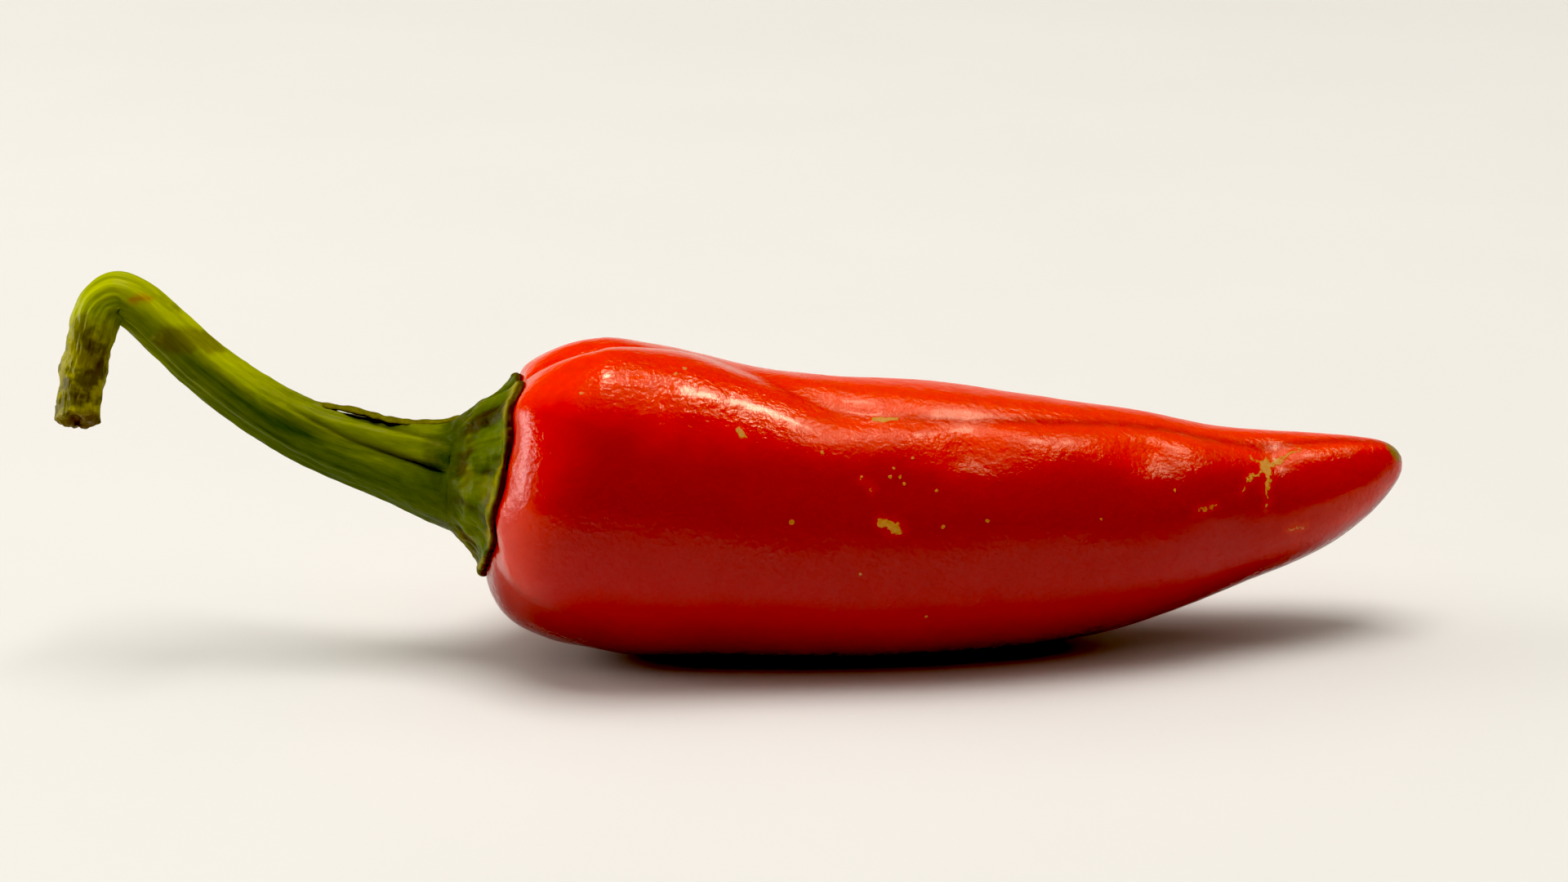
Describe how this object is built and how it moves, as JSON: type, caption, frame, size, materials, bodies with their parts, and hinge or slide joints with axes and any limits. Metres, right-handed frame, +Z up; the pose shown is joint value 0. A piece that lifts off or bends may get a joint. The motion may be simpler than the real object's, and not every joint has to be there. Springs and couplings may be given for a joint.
{
  "type": "chilli pepper",
  "caption": "Fresh red chilli pepper lying on its side: smooth lobed conical fruit with a flared green calyx and a bent green stem, as picked.",
  "frame": {"origin": "centre of the bounding box at its underside, on the surface that the pepper lies on", "axes": "+X along the pepper from the stem's free end to the fruit's tip, +Z up as it lies; the fruit's tip bends towards +Y and the stem's free end towards -Y"},
  "size_m": [0.1036, 0.024, 0.0298],
  "materials": {
    "red_skin": "waxy gloss skin, deep red shading to orange red on top, with corky flecks",
    "green_calyx": "matte green, wrinkled, with a brown rim",
    "green_stem": "matte green, fibrous, yellowing and browning towards the bent free end"
  },
  "bodies": {
    "root": {"fruit": "red_skin", "calyx": "green_calyx", "stem": "green_stem"}
  },
  "joints": []
}
